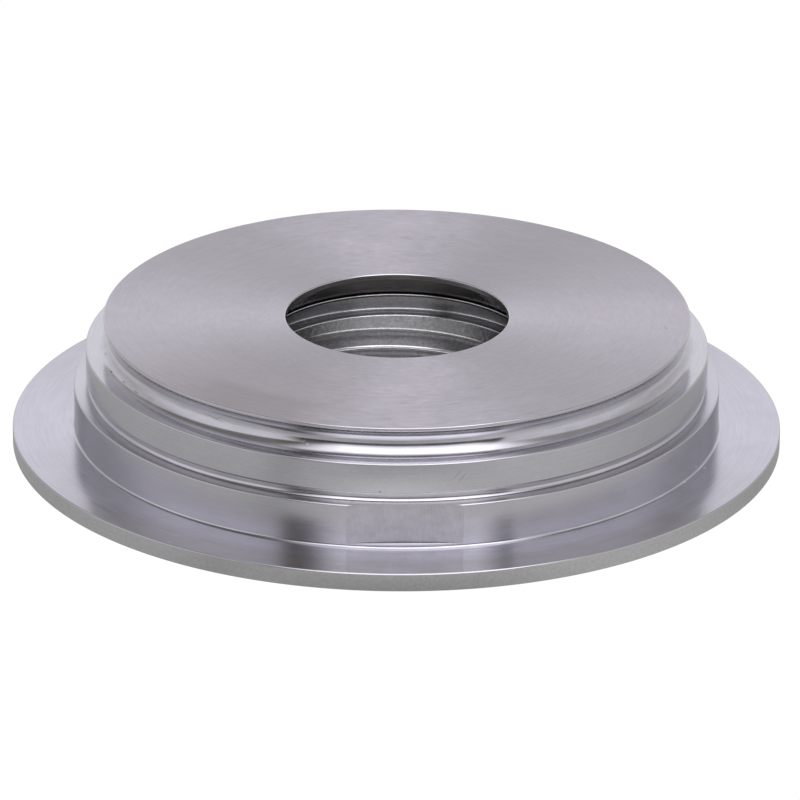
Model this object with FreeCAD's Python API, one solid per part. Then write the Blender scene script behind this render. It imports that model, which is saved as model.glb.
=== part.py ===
import FreeCAD, Part
import math
import os

# Process adapter: one piece of stainless steel, turned on a lathe, with one
# small flat milled on the lower step. Millimetres, +Z up along the axis of
# turning, origin at the centre of the flange's underside.

# ---- driving dimensions -------------------------------------------------
R_FLANGE = 42.0        # flange, diameter 84
T_FLANGE = 2.0         # flange thickness
R_LOWER = 35.25        # lower step of the spigot
Z_SHELF = 6.78         # top of the lower step
R_SPIGOT = 33.95       # locating diameter of the spigot, nominal 68
R_UNDERCUT = 33.55     # undercut between locating diameter and shelf
Z_UNDERCUT = 7.76      # lower end of the locating diameter
Z_LEDGE = 11.07        # top of the locating diameter
R_GROOVE = 31.22       # floor of the seal groove
Z_GROOVE = 12.61       # middle of the seal groove
R_LIP = 32.0           # thin lip above the seal groove, diameter 64
Z_TOP = 14.37          # process face
R_OPENING = 12.15      # opening in the process face
T_OPENING = 0.62       # depth of the opening's straight wall
R_CONE = 14.85         # large end of the internal sealing cone
R_SEAT = 14.55         # edge that stands in at the foot of the cone
Z_SEAT = 10.75         # lower side of that edge
R_RELIEF = 16.7        # run-out groove above the thread
Z_RELIEF = 8.36        # lower end of the run-out groove
R_MINOR = 15.145       # thread G 1, minor radius (diameter 30.291)
R_ENTRY = 17.2         # countersink at the thread's mouth

# milled flat
FLAT_DIST = 34.7       # distance of the flat from the axis
FLAT_FLOOR = 2.36      # its lower end
FLAT_TURN_DEG = 1.6    # turned this far from -Y towards +X

# radii
NOSE_GROOVE = 1.6      # round nose that cut the seal groove
NOSE_UNDERCUT = 0.52   # round nose that cut the undercut
Z_NOSE_UNDERCUT = 7.19 # its lowest centre
F_UNDERCUT = 0.27      # undercut, under the locating diameter
F_FLANGE = 0.25        # lower step to flange
E_BREAK = 0.15         # broken outer edges
E_UNDER = 0.12         # lower edge of the locating diameter
E_LIP = 0.12           # upper edge of the lip
E_LIP_UNDER = 0.2      # rounded lower edge of the lip
E_SEAT = 0.12          # upper side of the edge at the cone's foot
F_RELIEF = 0.3         # corners of the run-out groove
E_THREAD = 0.2         # upper end of the thread's wall


def corner(points):
    """Edges of a closed outline in the XZ plane. points holds (r, z, corner
    radius); a corner with radius 0 stays sharp, and the others become arcs
    tangent to both neighbours. A fourth entry (r, z) is a point that the run
    to the next corner passes through on an arc."""
    n = len(points)
    runs = []
    for i in range(n):
        r, z, rad = points[i][:3]
        p = FreeCAD.Vector(r, 0, z)
        a = FreeCAD.Vector(points[i - 1][0], 0, points[i - 1][1])
        b = FreeCAD.Vector(points[(i + 1) % n][0], 0, points[(i + 1) % n][1])
        if rad <= 0:
            runs.append((p, None, p))
            continue
        u = (a - p).normalize()
        v = (b - p).normalize()
        half = u.getAngle(v) / 2.0
        cut = rad / math.tan(half)
        mid = (u + v).normalize()
        centre = p + mid * (rad / math.sin(half))
        runs.append((p + u * cut, centre - mid * rad, p + v * cut))
    edges = []
    for i in range(n):
        start, middle, end = runs[i]
        if middle is not None:
            edges.append(Part.Arc(start, middle, end).toShape())
        nxt = runs[(i + 1) % n][0]
        if len(points[i]) > 3:
            via = FreeCAD.Vector(points[i][3][0], 0, points[i][3][1])
            edges.append(Part.Arc(end, via, nxt).toShape())
        elif (nxt - end).Length > 1e-6:
            edges.append(Part.LineSegment(end, nxt).toShape())
    return edges


# Seal groove: one arc, cut off below by the ledge and blended above into the
# rounded lower edge of the lip.
groove_r = R_GROOVE + NOSE_GROOVE                   # centre of the arc
groove_start = groove_r - math.sqrt(NOSE_GROOVE ** 2 - (Z_GROOVE - Z_LEDGE) ** 2)
reach = NOSE_GROOVE + E_LIP_UNDER
lip_in = groove_r - (R_LIP - E_LIP_UNDER)
lip_z = Z_GROOVE + math.sqrt(reach ** 2 - lip_in ** 2)      # centre of the edge
blend = (groove_r - lip_in * NOSE_GROOVE / reach,
         Z_GROOVE + (lip_z - Z_GROOVE) * NOSE_GROOVE / reach)
turn = math.atan2(-(lip_z - Z_GROOVE), lip_in) / 2.0        # middle of the edge
lip_via = (R_LIP - E_LIP_UNDER + E_LIP_UNDER * math.cos(turn),
           lip_z + E_LIP_UNDER * math.sin(turn))

# Undercut: a smaller arc, cut off below by the shelf.
under_r = R_UNDERCUT + NOSE_UNDERCUT
under_drop = Z_NOSE_UNDERCUT - Z_SHELF
under_start = under_r - math.sqrt(NOSE_UNDERCUT ** 2 - under_drop ** 2)
turn = math.asin(under_drop / NOSE_UNDERCUT) / 2.0
under_via = (under_r - NOSE_UNDERCUT * math.cos(turn),
             Z_NOSE_UNDERCUT - NOSE_UNDERCUT * math.sin(turn))

# Half section, anticlockwise from the thread's mouth. Outside going up, the
# process face inwards, then down through the opening.
cone_drop = R_CONE - R_OPENING          # 45 degree sealing cone
section = [
    (R_ENTRY, 0.0, 0.0),
    (R_FLANGE, 0.0, E_BREAK),
    (R_FLANGE, T_FLANGE, E_BREAK),
    (R_LOWER, T_FLANGE, F_FLANGE),
    (R_LOWER, Z_SHELF, E_BREAK),
    (under_start, Z_SHELF, 0.0, under_via),
    (R_UNDERCUT, Z_NOSE_UNDERCUT, 0.0),
    (R_UNDERCUT, Z_UNDERCUT, F_UNDERCUT),
    (R_SPIGOT, Z_UNDERCUT, E_UNDER),
    (R_SPIGOT, Z_LEDGE, E_BREAK),
    (groove_start, Z_LEDGE, 0.0, (R_GROOVE, Z_GROOVE)),
    (blend[0], blend[1], 0.0, lip_via),
    (R_LIP, lip_z, 0.0),
    (R_LIP, Z_TOP, E_LIP),
    (R_OPENING, Z_TOP, E_BREAK),
    (R_OPENING, Z_TOP - T_OPENING, 0.0),
    (R_CONE, Z_TOP - T_OPENING - cone_drop, 0.0),
    (R_SEAT, Z_TOP - T_OPENING - cone_drop, E_SEAT),
    (R_SEAT, Z_SEAT, 0.0),
    (R_RELIEF, Z_SEAT, F_RELIEF),
    (R_RELIEF, Z_RELIEF, F_RELIEF),
    (R_MINOR, Z_RELIEF, E_THREAD),
    (R_MINOR, R_ENTRY - R_MINOR, 0.0),
]

face = Part.Face(Part.Wire(corner(section)))
body = face.revolve(FreeCAD.Vector(0, 0, 0), FreeCAD.Vector(0, 0, 1), 360)

# The milled flat: a shallow slot across the lower step, square to a radius
# that points FLAT_TURN_DEG past -Y.
cutter = Part.makeBox(30.0, 4.0, Z_SHELF + 1.0 - FLAT_FLOOR,
                      FreeCAD.Vector(-15.0, -FLAT_DIST - 4.0, FLAT_FLOOR))
cutter.rotate(FreeCAD.Vector(0, 0, 0), FreeCAD.Vector(0, 0, 1), FLAT_TURN_DEG)
body = body.cut(cutter)

solids = body.Solids
adapter_body = solids[0]

os.makedirs("parts", exist_ok=True)
adapter_body.exportStep("parts/adapter_body.step")

box = adapter_body.BoundBox
print("solids", len(solids), "valid", adapter_body.isValid(),
      "volume_mm3", round(adapter_body.Volume, 1),
      "box", [round(v, 3) for v in (box.XMin, box.YMin, box.ZMin,
                                    box.XMax, box.YMax, box.ZMax)])
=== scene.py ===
import bpy
import math
from mathutils import Vector, Matrix, noise


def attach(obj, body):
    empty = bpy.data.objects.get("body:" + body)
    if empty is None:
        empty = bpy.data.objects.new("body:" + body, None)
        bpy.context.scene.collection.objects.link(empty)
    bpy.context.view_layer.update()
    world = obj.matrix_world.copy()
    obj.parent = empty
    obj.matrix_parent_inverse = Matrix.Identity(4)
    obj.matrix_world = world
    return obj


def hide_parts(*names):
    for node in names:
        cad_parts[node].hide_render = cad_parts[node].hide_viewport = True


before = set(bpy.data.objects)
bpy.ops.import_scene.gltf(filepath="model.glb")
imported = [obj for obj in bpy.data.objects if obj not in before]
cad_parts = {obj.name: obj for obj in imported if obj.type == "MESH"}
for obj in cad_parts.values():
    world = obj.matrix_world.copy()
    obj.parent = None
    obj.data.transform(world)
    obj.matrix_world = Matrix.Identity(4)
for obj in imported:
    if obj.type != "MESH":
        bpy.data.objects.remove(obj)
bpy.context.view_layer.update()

scene = bpy.context.scene
MM = 0.001
TAU = 2.0 * math.pi

# ------------------------------------------------------------------ sizes
# Millimetres, the same numbers as the solid model.
R_FLANGE, T_FLANGE = 42.0, 2.0
R_LOWER, Z_SHELF = 35.25, 6.78
R_SPIGOT, Z_LEDGE = 33.95, 11.07
R_UNDERCUT, Z_UNDERCUT = 33.55, 7.76
R_GROOVE, Z_GROOVE = 31.22, 12.61
R_LIP, Z_TOP = 32.0, 14.37
R_OPENING, T_OPENING = 12.15, 0.62
R_CONE, R_SEAT, Z_SEAT = 14.85, 14.55, 10.75
R_RELIEF, Z_RELIEF = 16.7, 8.36
R_MINOR, R_ENTRY = 15.145, 17.2
FLAT_DIST, FLAT_FLOOR = 34.7, 2.36
FLAT_AZ = math.radians(-90.0 + 1.6)
NOSE_GROOVE, NOSE_UNDERCUT, Z_NOSE_UNDERCUT = 1.6, 0.52, 7.19
F_UNDERCUT, F_FLANGE = 0.27, 0.25
E_BREAK, E_UNDER, E_LIP, E_LIP_UNDER = 0.15, 0.12, 0.12, 0.2
E_SEAT, F_RELIEF, E_THREAD = 0.12, 0.3, 0.2

# Thread G 1: Whitworth form, 55 degrees, 11 turns per inch, right hand.
PITCH = 25.4 / 11.0
T_ROUND = 0.137329 * PITCH
CREST_AT_BACK = 6.70      # height of one crest at +Y

FACE, RING, WALL, POLISH, FLAT, BORE, EDGE, UNDER, RIM, LEDGE, SHELF, LIP = range(12)
SPIGOT, CONE, THREAD, MOUTH, LAND, CREST = range(12, 18)


# ---------------------------------------------------------------- section
def arc_profile(points):
    """points: (r, z, corner radius, steps, material of the run that starts
    here, material of the corner, and for a run that is an arc its centre,
    radius, steps and whether it is convex). Returns the bands of the outline
    as (r0, z0, normal0, r1, z1, normal1, material), with exact normals."""
    n = len(points)
    ends = []
    for i, (r, z, rad, steps, _, cmat) in enumerate(p[:6] for p in points):
        p = Vector((r, z))
        a, b = points[i - 1], points[(i + 1) % n]
        u = (Vector((a[0], a[1])) - p).normalized()
        v = (Vector((b[0], b[1])) - p).normalized()
        if rad <= 0:
            ends.append((p, p, []))
            continue
        half = u.angle(v) / 2.0
        cut = rad / math.tan(half)
        centre = p + (u + v).normalized() * (rad / math.sin(half))
        s, e = p + u * cut, p + v * cut
        convex = (-u).x * v.y - (-u).y * v.x > 0
        a0 = math.atan2(s.y - centre.y, s.x - centre.x)
        a1 = math.atan2(e.y - centre.y, e.x - centre.x)
        d = (a1 - a0 + math.pi) % TAU - math.pi
        arc = []
        for k in range(steps + 1):
            t = a0 + d * k / steps
            out = Vector((math.cos(t), math.sin(t)))
            arc.append((centre + out * rad, out if convex else -out))
        ends.append((s, e, [(arc[k], arc[k + 1], cmat) for k in range(steps)]))
    bands = []
    for i in range(n):
        s, e, arcs = ends[i]
        for (p0, n0), (p1, n1), m in arcs:
            bands.append((p0.x, p0.y, n0, p1.x, p1.y, n1, m))
        nxt = ends[(i + 1) % n][0]
        if len(points[i]) > 6:
            cr, cz, rad, steps, convex = points[i][6]
            centre = Vector((cr, cz))
            a0 = math.atan2(e.y - cz, e.x - cr)
            d = (math.atan2(nxt.y - cz, nxt.x - cr) - a0 + math.pi) % TAU - math.pi
            arc = []
            for k in range(steps + 1):
                t = a0 + d * k / steps
                out = Vector((math.cos(t), math.sin(t)))
                arc.append((centre + out * rad, out if convex else -out))
            for (p0, n0), (p1, n1) in zip(arc[:-1], arc[1:]):
                bands.append((p0.x, p0.y, n0, p1.x, p1.y, n1, points[i][4]))
            continue
        run = nxt - e
        if run.length > 1e-6:
            t = run.normalized()
            nor = Vector((t.y, -t.x))
            bands.append((e.x, e.y, nor, nxt.x, nxt.y, nor, points[i][4]))
    return bands


cone_drop = R_CONE - R_OPENING
groove_r = R_GROOVE + NOSE_GROOVE
groove_start = groove_r - math.sqrt(NOSE_GROOVE ** 2 - (Z_GROOVE - Z_LEDGE) ** 2)
reach = NOSE_GROOVE + E_LIP_UNDER
lip_in = groove_r - (R_LIP - E_LIP_UNDER)
lip_z = Z_GROOVE + math.sqrt(reach ** 2 - lip_in ** 2)
blend_r = groove_r - lip_in * NOSE_GROOVE / reach
blend_z = Z_GROOVE + (lip_z - Z_GROOVE) * NOSE_GROOVE / reach
under_r = R_UNDERCUT + NOSE_UNDERCUT
under_drop = Z_NOSE_UNDERCUT - Z_SHELF
under_start = under_r - math.sqrt(NOSE_UNDERCUT ** 2 - under_drop ** 2)
outline = [
    (R_ENTRY, 0.0, 0.0, 0, UNDER, UNDER),
    (R_FLANGE, 0.0, E_BREAK, 4, RIM, EDGE),
    (R_FLANGE, T_FLANGE, E_BREAK, 5, RING, EDGE),
    (R_LOWER, T_FLANGE, F_FLANGE, 9, WALL, POLISH),
    (R_LOWER, Z_SHELF, E_BREAK, 5, SHELF, EDGE),
    (under_start, Z_SHELF, 0.0, 0, POLISH, POLISH,
     (under_r, Z_NOSE_UNDERCUT, NOSE_UNDERCUT, 9, False)),
    (R_UNDERCUT, Z_NOSE_UNDERCUT, 0.0, 0, POLISH, POLISH),
    (R_UNDERCUT, Z_UNDERCUT, F_UNDERCUT, 8, POLISH, POLISH),
    (R_SPIGOT, Z_UNDERCUT, E_UNDER, 4, SPIGOT, EDGE),
    (R_SPIGOT, Z_LEDGE, E_BREAK, 5, LEDGE, EDGE),
    (groove_start, Z_LEDGE, 0.0, 0, POLISH, POLISH,
     (groove_r, Z_GROOVE, NOSE_GROOVE, 40, False)),
    (blend_r, blend_z, 0.0, 0, LIP, LIP,
     (R_LIP - E_LIP_UNDER, lip_z, E_LIP_UNDER, 5, True)),
    (R_LIP, lip_z, 0.0, 0, LIP, LIP),
    (R_LIP, Z_TOP, E_LIP, 4, FACE, EDGE),
    (R_OPENING, Z_TOP, E_BREAK, 5, MOUTH, EDGE),
    (R_OPENING, Z_TOP - T_OPENING, 0.0, 0, CONE, CONE),
    (R_CONE, Z_TOP - T_OPENING - cone_drop, 0.0, 0, LAND, LAND),
    (R_SEAT, Z_TOP - T_OPENING - cone_drop, E_SEAT, 5, LAND, CREST),
    (R_SEAT, Z_SEAT, 0.0, 0, BORE, BORE),
    (R_RELIEF, Z_SEAT, F_RELIEF, 5, BORE, BORE),
    (R_RELIEF, Z_RELIEF, F_RELIEF, 5, None, CREST),
    (R_MINOR, Z_RELIEF, 0.0, 0, None, None),      # from here on the thread's own mesh
]

# ---------------------------------------------------------------- columns
half_flat = math.acos(FLAT_DIST / R_LOWER)
angles = [math.radians(a) for a in range(0, 360)]
for side in (-1, 1):
    mid = FLAT_AZ + side * half_flat
    angles += [mid + math.radians(k * 0.12) for k in range(-9, 10)]
angles = sorted(a % TAU for a in angles)
keep = []
for a in angles:
    on_axis = abs(math.sin(2 * a)) < 1e-9
    if keep and a - keep[-1] < math.radians(0.05):
        if on_axis:
            keep[-1] = a
        continue
    keep.append(a)
angles = keep
N = len(angles)

# ------------------------------------------------------------------- mesh
verts, index, faces, normals, mats = [], {}, [], [], []


def vid(r, z, th):
    x, y = r * math.cos(th), r * math.sin(th)
    key = (round(x, 6), round(y, 6), round(z, 6))
    if key not in index:
        index[key] = len(verts)
        verts.append((x * MM, y * MM, z * MM))
    return index[key]


def add_face(corners, mat):
    """corners: (r, z, angle, normal). Coincident corners are dropped."""
    ids, nors = [], []
    for r, z, th, nor in corners:
        i = vid(r, z, th)
        if i not in ids:
            ids.append(i)
            nors.append(nor)
    if len(ids) > 2:
        faces.append(ids)
        normals.extend(nors)
        mats.append(mat)


def radial(nor, th):
    return (nor[0] * math.cos(th), nor[0] * math.sin(th), nor[1])


def flat_radius(th, z):
    """Distance from the axis to the milled flat at this angle."""
    d = (th - FLAT_AZ + math.pi) % TAU - math.pi
    if abs(d) > 0.35:
        return 1e9
    wave = 0.016 * noise.noise(Vector((z * 0.9, 3.0 if d < 0 else 7.0, 0.5)))
    wave += 0.008 * noise.noise(Vector((z * 3.1, 11.0 if d < 0 else 17.0, 1.5)))
    return (FLAT_DIST + wave * min(1.0, abs(d) / 0.1)) / math.cos(d)


flat_normal = (math.cos(FLAT_AZ), math.sin(FLAT_AZ), 0.0)
bands = [b for b in arc_profile(outline) if b[6] is not None]
lower = []
for band in bands:
    r0, z0, n0, r1, z1, n1, mat = band
    if abs(r0 - R_LOWER) < 1e-6 and abs(r1 - R_LOWER) < 1e-6:
        # wall of the lower step: one short run below the flat's floor, then
        # rows fine enough for the flat's side edges
        lower.append((r0, z0, n0, r1, FLAT_FLOOR, n1, mat, False))
        rows = [FLAT_FLOOR + (z1 - FLAT_FLOOR) * k / 20 for k in range(21)]
        lower.append("floor")
        for k in range(20):
            lower.append((r0, rows[k], n0, r1, rows[k + 1], n1, mat, True))
    else:
        cut = (R_LOWER - 1.0 < min(r0, r1) and max(r0, r1) <= R_LOWER + 1e-6
               and min(z0, z1) > Z_SHELF - 0.2)
        cut = cut or (abs(z0 - Z_SHELF) < 1e-6 and abs(z1 - Z_SHELF) < 1e-6)
        lower.append((*band, cut))

for i in range(N):
    a0 = angles[i]
    a1 = angles[(i + 1) % N] + (TAU if i == N - 1 else 0.0)
    for band in lower:
        if band == "floor":
            up = (0.0, 0.0, 1.0)
            # the cutter's corner radius shows as a turn of the floor's shading
            foot = tuple(Vector((flat_normal[0], flat_normal[1], 1.0)).normalized())
            f0, f1 = flat_radius(a0, FLAT_FLOOR), flat_radius(a1, FLAT_FLOOR)
            if min(f0, f1) < R_LOWER:
                add_face([(R_LOWER, FLAT_FLOOR, a0, up),
                          (R_LOWER, FLAT_FLOOR, a1, up),
                          (min(f1, R_LOWER), FLAT_FLOOR, a1, foot),
                          (min(f0, R_LOWER), FLAT_FLOOR, a0, foot)], EDGE)
            continue
        r0, z0, n0, r1, z1, n1, mat, cut = band
        c = [[r0, z0, a0, n0], [r0, z0, a1, n0], [r1, z1, a1, n1], [r1, z1, a0, n1]]
        on_flat = 0
        if cut:
            for q in c:
                f = flat_radius(q[2], q[1])
                if f < q[0]:
                    q[0] = f
                    on_flat += 1
        vertical = abs(z1 - z0) > 1e-6
        if on_flat >= 3 and vertical:
            add_face([(q[0], q[1], q[2], flat_normal) for q in c], FLAT)
        else:
            add_face([(q[0], q[1], q[2], radial(q[3], q[2])) for q in c], mat)


# thread and its countersink
def thread_point(u):
    """Radius and slope of the thread form, u from a crest, one pitch long."""
    u = (u + PITCH / 2) % PITCH - PITCH / 2
    sgn = 1.0 if u >= 0 else -1.0
    u = abs(u)
    lim = math.radians(62.5)
    edge = T_ROUND * math.sin(lim)
    rise = T_ROUND * (1 - math.cos(lim))
    slope = math.tan(lim)
    if u <= edge:
        a = math.asin(min(1.0, u / T_ROUND))
        return R_MINOR + T_ROUND * (1 - math.cos(a)), sgn * math.tan(a)
    depth = 2 * rise + slope * (PITCH / 2 - 2 * edge)
    if u >= PITCH / 2 - edge:
        w = PITCH / 2 - u
        a = math.asin(min(1.0, w / T_ROUND))
        return R_MINOR + depth - T_ROUND * (1 - math.cos(a)), sgn * math.tan(a)
    return R_MINOR + rise + slope * (u - edge), sgn * slope


def thread_normal(r, slope, th):
    side = slope * PITCH / (TAU * r)
    v = Vector((-math.cos(th) + side * math.sin(th),
                -math.sin(th) - side * math.cos(th), slope))
    v.normalize()
    return tuple(v)


def crest_height(th):
    return CREST_AT_BACK + PITCH * (th - math.pi / 2) / TAU


steps = [math.radians(a) for a in (-62.5, -45, -30, -15, 0, 15, 30, 45, 62.5)]
form = [T_ROUND * math.sin(a) for a in steps]
form += [PITCH / 2 + T_ROUND * math.sin(a) for a in steps]
Z_CONE = R_ENTRY - R_MINOR
n_turns = range(-5, 5)


START = math.radians(40)    # the first turn cuts in over this angle, from -Y on


def thread_rows(th):
    """One column of the thread wall, from its top end down to the
    countersink: (r, z, normal), with ends clamped to the wall. Above its
    first turn the wall is plain, with a rounded upper edge."""
    turned = (th + math.pi / 2) % TAU
    first = CREST_AT_BACK + PITCH * (turned - math.pi) / TAU
    plain = min(1.0, turned / START)
    z_round = Z_RELIEF - E_THREAD
    heights = [crest_height(th) + k * PITCH + u for k in n_turns for u in form]
    heights += [z_round + E_THREAD * math.sin(math.radians(a)) for a in (0, 18, 36, 54, 72, 90)]
    rows = []
    for z in heights:
        z = min(max(z, Z_CONE), Z_RELIEF)
        r, slope = thread_point(z - crest_height(th))
        if z > first:
            r, slope = r + (R_MINOR - r) * plain, slope * (1 - plain)
        nor = thread_normal(r, slope, th)
        if z > z_round:
            rise = min(1.0, (z - z_round) / E_THREAD)
            edge_r = R_MINOR + E_THREAD * (1 - math.sqrt(1 - rise * rise))
            if edge_r > r:
                r = edge_r
                flat_part = math.sqrt(1 - rise * rise)
                nor = (-math.cos(th) * flat_part, -math.sin(th) * flat_part, rise)
        rows.append((r, z, nor))
    rows.sort(key=lambda q: -q[1])
    return rows


def mouth_rows(th):
    rows = []
    cone = (-math.cos(th) * math.sqrt(0.5), -math.sin(th) * math.sqrt(0.5), -math.sqrt(0.5))
    for k in range(27):
        z = Z_CONE * (1 - k / 26)
        r, slope = thread_point(z - crest_height(th))
        rc = R_ENTRY - z
        if rc >= r - 1e-9 and k > 0:
            rows.append((rc, z, cone))
        else:
            rows.append((r, z, thread_normal(r, slope, th)))
    return rows


shelf_up = (0.0, 0.0, 1.0)
for i in range(N):
    a0 = angles[i]
    a1 = angles[(i + 1) % N] + (TAU if i == N - 1 else 0.0)
    # the wrap round to the first column is one turn further along the helix
    c0, c1 = thread_rows(a0), thread_rows(a1)
    add_face([(R_RELIEF - F_RELIEF, Z_RELIEF, a0, shelf_up), (R_RELIEF - F_RELIEF, Z_RELIEF, a1, shelf_up),
              (c1[0][0], Z_RELIEF, a1, shelf_up), (c0[0][0], Z_RELIEF, a0, shelf_up)], LAND)
    first = CREST_AT_BACK + PITCH * ((a0 + math.pi / 2) % TAU - math.pi) / TAU
    for j in range(len(c0) - 1):
        z = (c0[j][1] + c0[j + 1][1]) / 2
        u = abs((z - crest_height(a0) + PITCH / 2) % PITCH - PITCH / 2)
        if z > Z_RELIEF - E_THREAD:
            u = 0.0
        elif z > first + 0.1:
            u = PITCH
        add_face([(*c0[j][:2], a0, c0[j][2]), (*c1[j][:2], a1, c1[j][2]),
                  (*c1[j + 1][:2], a1, c1[j + 1][2]), (*c0[j + 1][:2], a0, c0[j + 1][2])],
                 CREST if u < T_ROUND * math.sin(steps[-1]) else THREAD)
    m0, m1 = mouth_rows(a0), mouth_rows(a1)
    for j in range(len(m0) - 1):
        add_face([(*m0[j][:2], a0, m0[j][2]), (*m1[j][:2], a1, m1[j][2]),
                  (*m1[j + 1][:2], a1, m1[j + 1][2]), (*m0[j + 1][:2], a0, m0[j + 1][2])], BORE)

mesh = bpy.data.meshes.new("adapter_turned")
mesh.from_pydata(verts, [], faces)
for p, m in zip(mesh.polygons, mats):
    p.material_index = m
    p.use_smooth = True
mesh.update()
mesh.normals_split_custom_set(normals)
body = bpy.data.objects.new("adapter_turned", mesh)
scene.collection.objects.link(body)


# -------------------------------------------------------------- materials
class Tree:
    """Short calls that add nodes and give back their output sockets."""

    def __init__(self, tree):
        self.t = tree
        tree.nodes.clear()

    def new(self, kind, **props):
        n = self.t.nodes.new(kind)
        for k, v in props.items():
            setattr(n, k, v)
        return n

    def put(self, socket, value):
        if isinstance(value, bpy.types.NodeSocket):
            self.t.links.new(value, socket)
        else:
            socket.default_value = value

    def math(self, op, a, b=None, c=None, clamp=False):
        n = self.new("ShaderNodeMath", operation=op, use_clamp=clamp)
        for i, v in enumerate((a, b, c)):
            if v is not None:
                self.put(n.inputs[i], v)
        return n.outputs[0]

    def ramp(self, x, lo, hi, out_lo=0.0, out_hi=1.0, smooth=True):
        n = self.new("ShaderNodeMapRange")
        n.interpolation_type = "SMOOTHSTEP" if smooth else "LINEAR"
        for i, v in enumerate((x, lo, hi, out_lo, out_hi)):
            self.put(n.inputs[i], v)
        return n.outputs[0]

    def mix(self, f, a, b):
        n = self.new("ShaderNodeMix", data_type="FLOAT")
        for i, v in zip((0, 2, 3), (f, a, b)):
            self.put(n.inputs[i], v)
        return n.outputs[0]

    def mix_colour(self, f, a, b, blend="MIX"):
        n = self.new("ShaderNodeMix", data_type="RGBA", blend_type=blend)
        for i, v in zip((0, 6, 7), (f, a, b)):
            if not isinstance(v, bpy.types.NodeSocket) and i > 0:
                v = (*v, 1.0) if len(v) == 3 else v
            self.put(n.inputs[i], v)
        return n.outputs[2]

    def vec(self, x, y, z):
        n = self.new("ShaderNodeCombineXYZ")
        for i, v in enumerate((x, y, z)):
            self.put(n.inputs[i], v)
        return n.outputs[0]

    def noise(self, v, scale, detail=3.0, rough=0.55):
        n = self.new("ShaderNodeTexNoise", noise_dimensions="3D")
        self.put(n.inputs["Vector"], v)
        self.put(n.inputs["Scale"], scale)
        self.put(n.inputs["Detail"], detail)
        self.put(n.inputs["Roughness"], rough)
        return n.outputs["Fac"]


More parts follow.
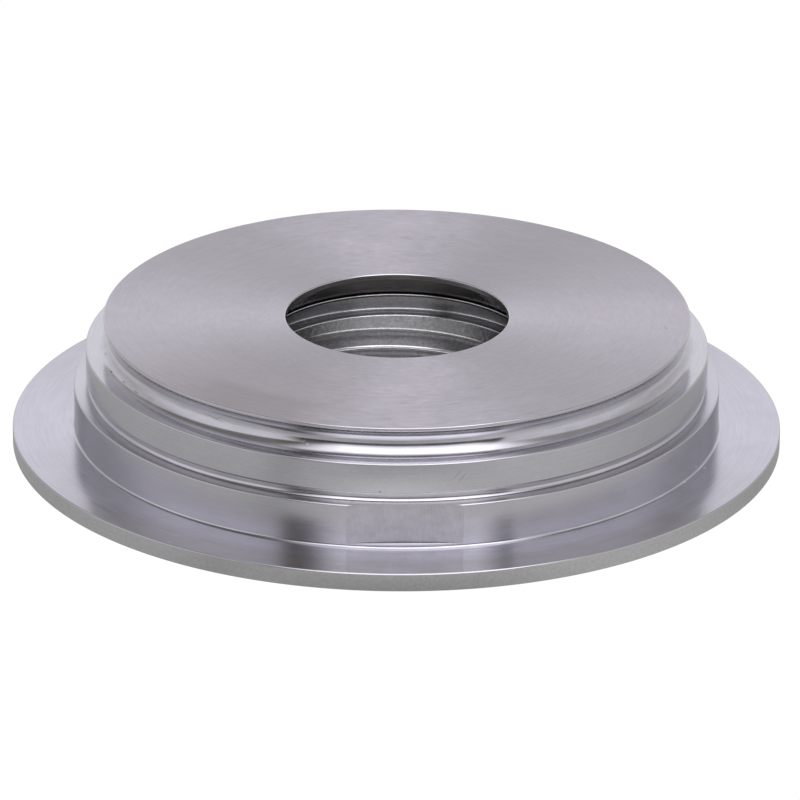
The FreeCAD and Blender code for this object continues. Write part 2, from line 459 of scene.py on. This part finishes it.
def steel(name, colour, roughness, aniso, lines=0.02, streaks=0.02, mottle=0.02, grain=0.0,
          width=0.35, length=8.0, rough_var=0.04, edge=1.0, patches=(), marks=(), bump=0.0):
    """Turned steel. The tool marks run round the axis: the grain is noise
    stretched along the circumference, and the gloss is drawn out across it.
    lines, streaks, mottle and grain are depths of tone; width is the streaks'
    width in mm and length their length in degrees. edge below 1 dulls the
    surface where it is seen at a flat angle. patches: (azimuth, half angle,
    softness, lo, hi, softness across, colour factor, raggedness)."""
    mat = bpy.data.materials.new(name)
    mat.use_nodes = True
    t = Tree(mat.node_tree)
    co = t.new("ShaderNodeTexCoord").outputs["Object"]
    sep = t.new("ShaderNodeSeparateXYZ")
    t.put(sep.inputs[0], co)
    x, y, z = (t.math("MULTIPLY", s, 1000.0) for s in sep.outputs)
    r = t.math("SQRT", t.math("ADD", t.math("MULTIPLY", x, x), t.math("MULTIPLY", y, y)))
    safe = t.math("MAXIMUM", r, 0.01)
    cx, sy = t.math("DIVIDE", x, safe), t.math("DIVIDE", y, safe)
    across = t.math("ADD", r, t.math("MULTIPLY", z, 1.37))

    def round_noise(mm, deg, detail, rough, shift):
        k = 57.3 / deg
        v = t.vec(t.math("ADD", t.math("MULTIPLY", across, 1.0 / mm), shift),
                  t.math("MULTIPLY", cx, k), t.math("MULTIPLY", sy, k))
        return t.math("SUBTRACT", t.noise(v, 1.0, detail, rough), 0.5)

    f = round_noise(width * 0.45, 60.0, 3.0, 0.6, 3.7)
    s = round_noise(width, length, 3.0, 0.6, 11.3)
    v3 = t.vec(x, y, z)
    c = t.math("SUBTRACT", t.noise(v3, 0.16, 4.0, 0.6), 0.5)
    value = t.math("MULTIPLY_ADD", f, lines * 8, 1.0)
    value = t.math("MULTIPLY_ADD", s, streaks * 8, value)
    value = t.math("MULTIPLY_ADD", c, mottle * 8, value)
    if grain:
        g = t.math("SUBTRACT", t.noise(v3, 3.2, 2.0, 0.6), 0.5)
        value = t.math("MULTIPLY_ADD", g, grain * 8, value)
    col = t.new("ShaderNodeVectorMath", operation="SCALE")
    t.put(col.inputs[0], colour)
    t.put(col.inputs["Scale"], value)
    col = col.outputs[0]
    if patches:
        az = t.math("MULTIPLY", t.math("ARCTAN2", x, t.math("MULTIPLY", y, -1.0)), 180 / math.pi)
        ragged = t.noise(t.vec(across, t.math("MULTIPLY", cx, 7.0), t.math("MULTIPLY", sy, 7.0)), 1.0, 3.0, 0.6)
        ragged = t.math("SUBTRACT", ragged, 0.5)
    for mid, half, soft, lo, hi, across_soft, factor, wild in patches:
        off = t.math("ABSOLUTE", t.math("SUBTRACT", az, mid))
        off = t.math("MULTIPLY_ADD", ragged, wild * 40.0, off)
        pos = t.math("MULTIPLY_ADD", ragged, wild * 4.0, t.math("ADD", r, z))
        m = t.ramp(off, half - soft, half + soft, 1.0, 0.0)
        m = t.math("MULTIPLY", m, t.ramp(pos, lo - across_soft, lo + across_soft))
        m = t.math("MULTIPLY", m, t.ramp(pos, hi - across_soft, hi + across_soft, 1.0, 0.0))
        col = t.mix_colour(m, col, t.mix_colour(1.0, col, factor, "MULTIPLY"))
    for centre, along, long_mm, wide_mm, factor in marks:
        # a nick, speck or scratch: a slim ellipsoid through the surface
        d = t.new("ShaderNodeVectorMath", operation="SUBTRACT")
        t.put(d.inputs[0], v3)
        d.inputs[1].default_value = centre
        dot = t.new("ShaderNodeVectorMath", operation="DOT_PRODUCT")
        t.put(dot.inputs[0], d.outputs[0])
        dot.inputs[1].default_value = Vector(along).normalized()
        size = t.new("ShaderNodeVectorMath", operation="DOT_PRODUCT")
        t.put(size.inputs[0], d.outputs[0])
        t.put(size.inputs[1], d.outputs[0])
        u = t.math("MULTIPLY", dot.outputs["Value"], dot.outputs["Value"])
        far = t.math("MULTIPLY", size.outputs["Value"], wide_mm ** -2)
        far = t.math("MULTIPLY_ADD", u, long_mm ** -2 - wide_mm ** -2, far)
        m = t.ramp(far, 0.25, 1.5, 1.0, 0.0)
        col = t.mix_colour(m, col, t.mix_colour(1.0, col, (factor, factor, factor), "MULTIPLY"))
    p = t.new("ShaderNodeBsdfPrincipled")
    t.put(p.inputs["Base Color"], col)
    p.inputs["Metallic"].default_value = 1.0
    rough = t.math("MULTIPLY_ADD", s, rough_var * 2, roughness)
    t.put(p.inputs["Roughness"], t.math("MULTIPLY_ADD", c, rough_var, rough, clamp=True))
    p.inputs["Anisotropic"].default_value = aniso
    p.inputs["Anisotropic Rotation"].default_value = 0.25
    p.inputs["Specular Tint"].default_value = (edge, edge, edge, 1.0)
    tan = t.new("ShaderNodeTangent", direction_type="RADIAL", axis="Z")
    t.put(p.inputs["Tangent"], tan.outputs[0])
    if bump:
        b = t.new("ShaderNodeBump")
        b.inputs["Strength"].default_value = 1.0
        b.inputs["Distance"].default_value = bump * MM
        t.put(b.inputs["Height"], t.noise(v3, 2.2, 3.0, 0.6))
        t.put(p.inputs["Normal"], b.outputs[0])
    out = t.new("ShaderNodeOutputMaterial")
    t.put(out.inputs[0], p.outputs[0])
    return mat


def milled(name, colour):
    """The small flat: crossed, matt marks with a mottled look."""
    mat = bpy.data.materials.new(name)
    mat.use_nodes = True
    t = Tree(mat.node_tree)
    co = t.new("ShaderNodeTexCoord").outputs["Object"]
    sep = t.new("ShaderNodeSeparateXYZ")
    t.put(sep.inputs[0], co)
    x, y, z = (t.math("MULTIPLY", s, 1000.0) for s in sep.outputs)
    blot = t.noise(t.vec(x, y, t.math("MULTIPLY", z, 1.3)), 0.62, 6.0, 0.6)
    grain = t.noise(t.vec(t.math("MULTIPLY", x, 7.0), y, t.math("MULTIPLY", z, 1.1)), 1.0, 3.0)
    b0, g0 = t.math("SUBTRACT", blot, 0.5), t.math("SUBTRACT", grain, 0.5)
    value = t.math("ADD", 1.08, t.math("ADD", t.math("MULTIPLY", b0, 0.66),
                                       t.math("MULTIPLY", g0, 0.26)))
    col = t.new("ShaderNodeVectorMath", operation="SCALE")
    t.put(col.inputs[0], colour)
    t.put(col.inputs["Scale"], value)
    p = t.new("ShaderNodeBsdfPrincipled")
    t.put(p.inputs["Base Color"], col.outputs[0])
    p.inputs["Metallic"].default_value = 1.0
    t.put(p.inputs["Roughness"], t.math("ADD", 0.42, t.math("MULTIPLY", b0, 0.25)))
    bmp = t.new("ShaderNodeBump")
    bmp.inputs["Strength"].default_value = 1.0
    bmp.inputs["Distance"].default_value = 0.006 * MM
    t.put(bmp.inputs["Height"], t.math("ADD", blot, grain))
    t.put(p.inputs["Normal"], bmp.outputs[0])
    out = t.new("ShaderNodeOutputMaterial")
    t.put(out.inputs[0], p.outputs[0])
    return mat


def tint(rg, bg, level=0.6):
    """Steel with this much red and blue for its green; half of the cast is
    in the light."""
    return (level * (1.0 + (rg - 1.0) * 0.5), level, level * (1.0 + (bg - 1.0) * 0.5))


# painted shade: the outer flange ring darker over the front, with a brownish cast, where its reflection darkens
# outward, and darker sectors of the face's reflection at the front left. The front of the shelf is darker too,
# with a brownish cast.
painted_shade_ring = (0.0, 51.0, 7.0, 40.4, 60.0, 1.0, (0.86, 0.85, 0.81), 0.25)
# painted shade: darker sectors of the face's reflection at the front left
painted_shade_face_outer = (-31.0, 15.0, 8.0, 40.5, 60.0, 1.2, (0.88, 0.865, 0.85), 0.4)
painted_shade_face_wide = (-38.0, 24.0, 9.0, 33.0, 60.0, 2.0, (0.965, 0.955, 0.945), 0.4)
# darker, with a brownish cast, over the front half of the shelf
dark_front_shelf = (2.0, 54.0, 9.0, 30.0, 60.0, 0.5, (0.86, 0.85, 0.82), 0.2)

# nicks, specks and scratches: centre, direction, half length, half width, tone
marks_face = [((29.21, -3.21, 14.37), (0.3, -1, 0), 0.22, 0.12, 0.5),
              ((29.06, -2.63, 14.37), (-0.2, 1, 0), 0.25, 0.10, 0.75)]
marks_corner = [((-31.67, -4.17, 11.27), (0, 1, 0), 0.12, 0.12, 0.3),
                ((-30.84, -8.98, 11.17), (0, 1, 0), 0.16, 0.13, 0.25),
                ((30.93, -4.63, 12.22), (0, 1, 0), 0.14, 0.10, 0.45),
                ((-9.38, -30.05, 11.74), (1, 0, 0.2), 0.20, 0.12, 1.5),
                ((-9.75, -29.8, 11.96), (1, 0, 0.5), 0.30, 0.08, 1.5),
                ((-19.22, -24.62, 12.3), (2.27, -1.89, -0.46), 1.5, 0.05, 0.7),
                ((-18.96, -24.86, 12.4), (0.87, -0.56, 0.59), 0.6, 0.05, 0.7),
                ((-29.37, -12.29, 11.35), (0.5, -0.8, 0), 0.5, 0.08, 0.6),
                ((-27.99, -15.13, 11.37), (0.5, -0.8, 0), 0.6, 0.08, 0.6),
                ((31.1, -16.97, 2.07), (0.4, 0.8, 0), 0.25, 0.12, 1.4)]
marks_spigot = [((7.0, -33.22, 9.34), (0.94, 0.2, 1.18), 0.76, 0.05, 0.72),
                ((6.42, -33.33, 9.67), (1.04, 0.2, 1.06), 0.75, 0.05, 0.78),
                ((-1.68, -33.91, 7.91), (1, 0, 0), 0.10, 0.10, 0.3)]
marks_shelf = [((-4.63, -34.0, 6.78), (1, 0, 0), 0.14, 0.10, 0.35)]
marks_ring = [((33.38, -12.91, 2.0), (0.4, 1, 0), 0.35, 0.14, 1.35),
              ((-23.95, -33.9, 2.0), (0.8, -0.6, 0), 0.22, 0.12, 1.35),
              ((-22.75, -35.18, 2.0), (0.8, -0.5, 0), 0.28, 0.12, 1.35)]

slots = {
    FACE: steel("face_steel", tint(1.081, 1.150, 0.535), 0.31, 0.83, 0.016, 0.050, 0.034, grain=0.012,
                width=0.50, length=4.0, rough_var=0.08, patches=(painted_shade_face_outer, painted_shade_face_wide),
                marks=marks_face),
    RING: steel("ring_steel", tint(1.024, 1.190), 0.164, 0.83, 0.026, 0.036, 0.036,
                width=0.35, length=6.0, patches=(painted_shade_ring,), marks=marks_ring),
    WALL: steel("wall_steel", tint(1.016, 1.100, 0.62), 0.172, 0.82, 0.010, 0.011, 0.012,
                grain=0.012, width=0.3, length=7.0, edge=0.62),
    SPIGOT: steel("spigot_steel", tint(1.016, 1.090), 0.134, 0.62, 0.014, 0.016, 0.014,
                  grain=0.016, width=0.3, length=6.0, edge=0.86, marks=marks_spigot),
    POLISH: steel("corner_steel", tint(1.027, 1.107), 0.125, 0.78, 0.02, 0.04, 0.03,
                  width=0.25, length=5.0, marks=marks_corner),
    FLAT: milled("flat_steel", tint(1.04, 1.11, 0.565)),
    # bore and land: the steel painted darker, as painted shade inside the bore
    BORE: steel("bore_painted_shade", tint(1.01, 1.04, 0.40), 0.36, 1.0, 0.03, 0.05, 0.04, grain=0.08, width=0.3),
    LAND: steel("land_painted_shade", tint(1.01, 1.04, 0.34), 0.18, 0.80, 0.03, 0.03, 0.03, width=0.3),
    # cone: near black, painted shade for the dark that the sealing cone reflects
    CONE: steel("cone_painted_shade", (0.062, 0.052, 0.046), 0.2, 0.5, 0.03, 0.03, 0.03, width=0.3),
    MOUTH: steel("mouth_steel", tint(1.03, 0.94), 0.2, 0.6, 0.02, 0.02, 0.02, width=0.2),
    # crest: the steel painted lighter, as a painted highlight on the thread's crests
    CREST: steel("crest_painted_highlight", tint(1.01, 1.04, 0.80), 0.24, 0.80, 0.03, 0.03, 0.02, grain=0.06, width=0.3),
    # thread: the steel painted darker, as painted shade inside the bore
    THREAD: steel("thread_painted_shade", tint(1.02, 1.06, 0.44), 0.36, 1.0, 0.03, 0.05, 0.03,
                  grain=0.12, width=0.3, length=6.0, bump=0.05),
    EDGE: steel("edge_steel", tint(1.024, 1.076), 0.166, 0.90, 0.01, 0.02, 0.0),
    UNDER: steel("under_steel", tint(1.03, 1.1), 0.28, 0.83, 0.02, 0.02, 0.02, width=0.5),
    RIM: steel("rim_steel", tint(1.000, 1.010), 0.24, 0.80, 0.008, 0.010, 0.012,
               grain=0.036, width=0.25, length=4.0, edge=0.88),
    LEDGE: steel("ledge_steel", tint(1.013, 1.100), 0.144, 0.74, 0.02, 0.03, 0.02,
                 width=0.25, length=6.0),
    SHELF: steel("shelf_steel", tint(1.014, 1.120), 0.184, 0.97, 0.02, 0.02, 0.02,
                 width=0.25, length=6.0, patches=(dark_front_shelf,), marks=marks_shelf),
    LIP: steel("lip_steel", tint(1.044, 1.093), 0.21, 0.88, 0.01, 0.02, 0.01, width=0.25),
}
for i in range(len(slots)):
    mesh.materials.append(slots[i])
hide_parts("adapter_body")
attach(body, "root")

# ------------------------------------------------------------------ stage
floor_mesh = bpy.data.meshes.new("floor")
S = 3.0
floor_mesh.from_pydata([(-S, -S, 0), (S, -S, 0), (S, S, 0), (-S, S, 0)], [], [(0, 1, 2, 3)])
floor = bpy.data.objects.new("floor", floor_mesh)
scene.collection.objects.link(floor)
floor.location = (0, 0, -0.00006)
fmat = bpy.data.materials.new("floor_white")
fmat.use_nodes = True
ft = Tree(fmat.node_tree)
fe = ft.new("ShaderNodeEmission")
fe.inputs["Color"].default_value = (1.0, 1.0, 1.0, 1)
fe.inputs["Strength"].default_value = 1.02
fo = ft.new("ShaderNodeOutputMaterial")
ft.put(fo.inputs[0], fe.outputs[0])
fmat.cycles.emission_sampling = "NONE"
floor_mesh.materials.append(fmat)
floor.visible_glossy = False
floor.visible_diffuse = False
floor.visible_shadow = False

SPOT, SPOT_R, SPOT_Y = 1.30, 6.3, 3.2

# The table as the metal sees it: a glowing plane with its light and shade painted in. It carries a painted shadow
# that darkens it close to the object, a painted dark stripe, and the painted pool of light that the polished steps
# throw in front of it.
table_mesh = bpy.data.meshes.new("table")
table_mesh.from_pydata([(-S, -S, 0), (S, -S, 0), (S, S, 0), (-S, S, 0)], [], [(0, 1, 2, 3)])
table = bpy.data.objects.new("table", table_mesh)
scene.collection.objects.link(table)
table.location = (0, 0, -0.00002)
tmat = bpy.data.materials.new("table_painted_light")
tmat.use_nodes = True
w = Tree(tmat.node_tree)
add = lambda *v: v[0] if len(v) == 1 else w.math("ADD", v[0], add(*v[1:]))
mul = lambda *v: v[0] if len(v) == 1 else w.math("MULTIPLY", v[0], mul(*v[1:]))
ss = lambda *v: w.ramp(*v)


def around(az, knots):
    """Smooth change from knot to knot, knots: (azimuth, value)."""
    out = knots[0][1]
    for (a0, _), (a1, v1) in zip(knots[:-1], knots[1:]):
        out = w.mix(ss(az, a0, a1), out, v1)
    return out


sep = w.new("ShaderNodeSeparateXYZ")
w.put(sep.inputs[0], w.new("ShaderNodeTexCoord").outputs["Object"])
tx, ty = mul(sep.outputs[0], 1000.0), mul(sep.outputs[1], 1000.0)
rho = w.math("SQRT", add(mul(tx, tx), mul(ty, ty)))
az = mul(w.math("ARCTAN2", tx, mul(ty, -1.0)), 180 / math.pi)
base = around(az, [(-180.0, 0.777), (-85.0, 0.606), (-35.0, 0.608), (0.0, 0.485),
                   (35.0, 0.701), (85.0, 0.582), (180.0, 0.777)])
# painted shadow: darker close to the flange
shade = w.math("EXPONENT", mul(w.math("MAXIMUM", add(rho, -42.0), 0.0), -0.0245))
base = mul(base, add(1.0, mul(shade, -0.245)))
# painted shade: a dark stripe at azimuth -29
gap = mul(add(az, 29.0), 0.143)
base = mul(base, add(1.0, mul(w.math("EXPONENT", mul(gap, gap, -1.0)), -0.18)))
off, turn = mul(add(rho, -52.03), 0.2269), mul(az, 0.0600)
pool = mul(w.math("EXPONENT", mul(off, off, -1.0)), w.math("EXPONENT", mul(turn, turn, -1.0)), 0.439)
spot_y = add(ty, -SPOT_Y)                  # light that falls through the opening
spot = w.math("SQRT", add(mul(tx, tx), mul(spot_y, spot_y)))
inner = w.mix(ss(spot, SPOT_R - 0.8, SPOT_R + 0.8), SPOT, 0.02)
E = w.mix(ss(rho, 17.0, 18.0), inner, add(base, pool))
te = w.new("ShaderNodeEmission")
w.put(te.inputs["Color"], w.vec(mul(E, 1.004), mul(E, 0.998), mul(E, 1.004)))
to = w.new("ShaderNodeOutputMaterial")
w.put(to.inputs[0], te.outputs[0])
tmat.cycles.emission_sampling = "NONE"
table_mesh.materials.append(tmat)
table.visible_camera = False
table.visible_shadow = False

# Studio: a small light tent open towards -Y, a long soft box overhead and
# the ceiling of the tent darker round it.
world = bpy.data.worlds.new("studio")
scene.world = world
world.use_nodes = True
w = Tree(world.node_tree)
d = w.new("ShaderNodeTexCoord").outputs["Generated"]
sep = w.new("ShaderNodeSeparateXYZ")
w.put(sep.inputs[0], d)
dx, dy, dz = sep.outputs
el = mul(w.math("ARCSINE", dz), 180 / math.pi)
az = mul(w.math("ARCTAN2", dx, mul(dy, -1.0)), 180 / math.pi)
aaz = w.math("ABSOLUTE", az)
side = ss(dx, -0.05, 0.05)                 # 0 left, 1 right

# walls of the tent, in a box with its ceiling at height 1
sx = mul(w.math("ABSOLUTE", dx), 0.9142)
sy = mul(w.math("MAXIMUM", dy, 0.0), 1 / 2.154)
sz = w.math("MAXIMUM", dz, 0.0)
hz = w.math("DIVIDE", sz, w.math("MAXIMUM", w.math("MAXIMUM", sx, sy), 1e-4))
low = w.math("MINIMUM", hz, 1.0)
ceil = ss(hz, 0.93, 1.07)
wall = around(az, [(-180.0, 0.800), (-125.0, 0.533), (-85.0, 0.790), (-60.0, 0.800), (-40.0, 0.720),
                   (40.0, 0.690), (60.0, 0.750), (85.0, 0.740), (125.0, 0.537), (180.0, 0.800)])
wall = add(wall, mul(low, w.mix(ss(aaz, 110.0, 160.0), w.mix(side, -0.011, -0.017), 0.170)))

# ceiling round the soft box
fr = ss(aaz, 35.0, 80.0)
bk = ss(aaz, 120.0, 165.0)
sh = w.mix(bk, w.mix(side, w.mix(fr, 0.100, 0.205), w.mix(fr, 0.711, 0.353)), 0.466)
E = w.mix(ceil, wall, sh)

# dark opening in front
om = mul(ss(az, -45.2, -35.8), ss(az, 40.5, 43.2, 1.0, 0.0))
bump = w.math("EXPONENT", mul(az, az, -1.0 / 196.0))
ov = add(w.mix(bump, w.mix(side, 0.004, 0.019), 0.060),
         mul(w.math("MINIMUM", w.math("MAXIMUM", mul(el, 0.04), 0.0), 1.5), 0.160))
E = w.mix(om, E, ov)

# soft box, measured on the plane z = 1
z1 = w.math("MAXIMUM", dz, 0.02)
px, py = w.math("DIVIDE", dx, z1), w.math("DIVIDE", dy, z1)
soft = 0.286
lft = w.math("SUBTRACT", px, add(-0.242, mul(py, 0.354)))
rgt = w.math("SUBTRACT", px, add(0.396, mul(py, -0.467)))
m = mul(ss(lft, -soft, soft), ss(rgt, -soft, soft, 1.0, 0.0),
        ss(py, -3.870 - 2 * soft, -3.870 + 2 * soft), ss(dz, 0.05, 0.2))
box = w.math("MINIMUM", w.math("MAXIMUM", add(2.485, mul(py, 0.643)), 0.0), 12.0)
box = mul(box, ss(dz, 0.94, 0.996, 1.0, 0.45))     # weaker straight overhead
E = w.mix(m, E, box)
E = w.math("MAXIMUM", E, 0.0)
bg = w.new("ShaderNodeBackground")
cool = ss(E, 0.15, 0.75)                   # dim parts of the room are warmer
w.put(bg.inputs["Color"], w.vec(mul(E, w.mix(cool, 1.03, 1.012)), mul(E, 0.995), mul(E, w.mix(cool, 0.95, 1.055))))
bg.inputs["Strength"].default_value = 1.0
wo = w.new("ShaderNodeOutputWorld")
w.put(wo.inputs[0], bg.outputs[0])

# ----------------------------------------------------------------- camera
ELEV, ROLL, DIST, FOCAL = math.radians(22.352), math.radians(0.3914), 877.8, 8028.8
AIM = Vector((0.3746, 0.0, 4.3683))
eye = Vector((0.0, -math.cos(ELEV) * DIST, 7.0 + math.sin(ELEV) * DIST))
fwd = (AIM - eye).normalized()
right = fwd.cross(Vector((0, 0, 1))).normalized()
up = right.cross(fwd)
r2 = right * math.cos(ROLL) + up * math.sin(ROLL)
u2 = up * math.cos(ROLL) - right * math.sin(ROLL)
cam_data = bpy.data.cameras.new("camera")
cam = bpy.data.objects.new("camera", cam_data)
scene.collection.objects.link(cam)
cam_data.sensor_fit = "HORIZONTAL"
cam_data.sensor_width = 36.0
cam_data.lens = 36.0 * FOCAL / 800.0
cam_data.clip_start, cam_data.clip_end = 0.05, 20.0
m = Matrix((r2, u2, -fwd)).transposed().to_4x4()
m.translation = eye * MM
cam.matrix_world = m
scene.camera = cam

scene.view_settings.view_transform = "Standard"
scene.view_settings.look = "None"
scene.view_settings.exposure = 0.0
scene.view_settings.gamma = 1.0
